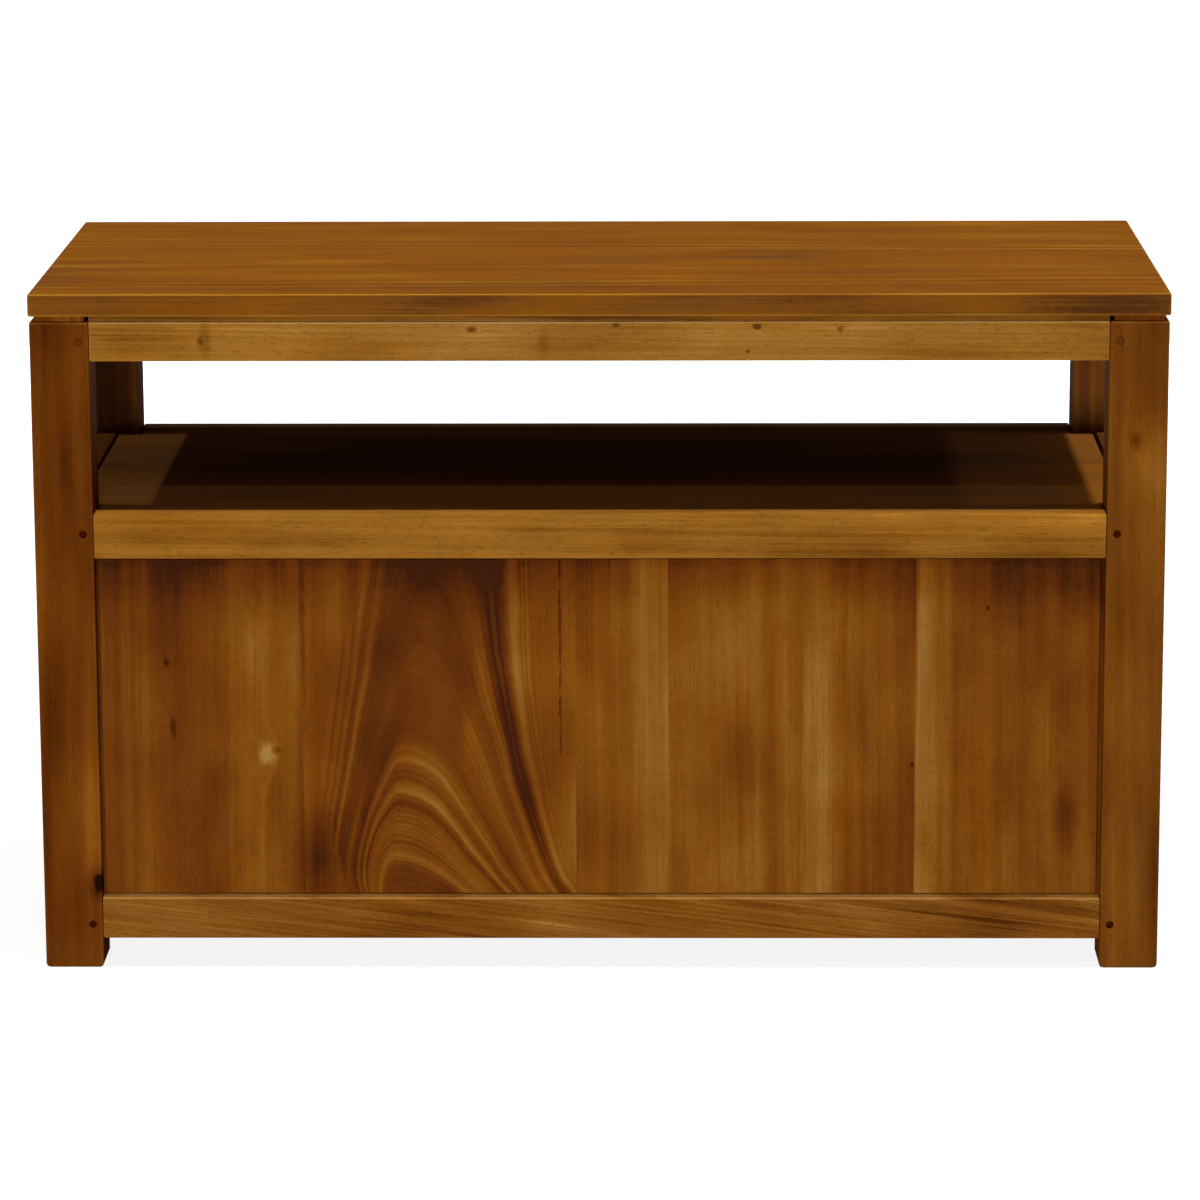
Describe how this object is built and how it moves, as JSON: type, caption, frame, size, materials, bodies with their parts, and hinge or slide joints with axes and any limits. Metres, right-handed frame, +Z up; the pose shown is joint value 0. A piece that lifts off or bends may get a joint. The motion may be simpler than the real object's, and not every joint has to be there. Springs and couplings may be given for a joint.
{
  "type": "tv stand",
  "caption": "Low solid-wood tv stand: pegged post-and-rail frame with floating panels, an open niche under a top with a shadow gap, and drawers side by side on wooden runners.",
  "frame": {"origin": "on the floor under the middle of the stand", "axes": "+X along the stand, to the right for someone who looks at its framed back; -Y out of the framed back, +Y out of the drawers; +Z up"},
  "size_m": [1.002, 0.452, 0.614],
  "materials": {
    "post_wood": "satin lacquer on red-brown hardwood",
    "rail_wood": "satin lacquer on golden-brown hardwood",
    "top_wood": "satin lacquer on edge-glued boards",
    "shelf_wood": "satin lacquer on edge-glued boards",
    "panel_wood": "satin lacquer on upright edge-glued boards",
    "drawer_front_wood": "satin lacquer on solid boards",
    "unstained_wood": "bare sanded wood",
    "peg_wood": "dark end grain"
  },
  "bodies": {
    "carcass": {"post_rear_left": "post_wood", "post_rear_right": "post_wood", "post_front_left": "post_wood", "post_front_right": "post_wood", "top": "top_wood", "top_rail_rear": "rail_wood", "top_rail_right": "rail_wood", "top_rail_front": "rail_wood", "top_rail_left": "rail_wood", "mid_rail_rear": "rail_wood", "mid_rail_right": "rail_wood", "mid_rail_front": "rail_wood", "mid_rail_left": "rail_wood", "low_rail_rear": "rail_wood", "low_rail_right": "rail_wood", "low_rail_front": "rail_wood", "low_rail_left": "rail_wood", "back_panel": "panel_wood", "side_panel_left": "panel_wood", "side_panel_right": "panel_wood", "shelf": "shelf_wood", "shelf_cleat_left": "unstained_wood", "shelf_cleat_right": "unstained_wood", "top_button_rear_left": "unstained_wood", "top_button_rear_right": "unstained_wood", "top_button_front_left": "unstained_wood", "top_button_front_right": "unstained_wood", "centre_partition": "rail_wood", "runner_left_inner": "unstained_wood", "runner_left_outer": "unstained_wood", "runner_right_inner": "unstained_wood", "runner_right_outer": "unstained_wood", "peg_low_rear_left": "peg_wood", "peg_low_rear_right": "peg_wood", "peg_low_front_left": "peg_wood", "peg_low_front_right": "peg_wood", "peg_mid_rear_left": "peg_wood", "peg_mid_rear_right": "peg_wood", "peg_mid_front_left": "peg_wood", "peg_mid_front_right": "peg_wood", "peg_top_rear_left": "peg_wood", "peg_top_rear_right": "peg_wood", "peg_top_front_left": "peg_wood", "peg_top_front_right": "peg_wood"},
    "drawer_left": {"drawer_left_front": "drawer_front_wood", "drawer_left_side_inner": "unstained_wood", "drawer_left_side_outer": "unstained_wood", "drawer_left_back": "unstained_wood", "drawer_left_bottom": "unstained_wood"},
    "drawer_right": {"drawer_right_front": "drawer_front_wood", "drawer_right_side_inner": "unstained_wood", "drawer_right_side_outer": "unstained_wood", "drawer_right_back": "unstained_wood", "drawer_right_bottom": "unstained_wood"}
  },
  "joints": [
    {"name": "drawer_left_slide", "type": "slide", "parent": "carcass", "child": "drawer_left", "axis": [0, 1, 0], "range_m": [0, 0.28]},
    {"name": "drawer_right_slide", "type": "slide", "parent": "carcass", "child": "drawer_right", "axis": [0, 1, 0], "range_m": [0, 0.28]}
  ]
}
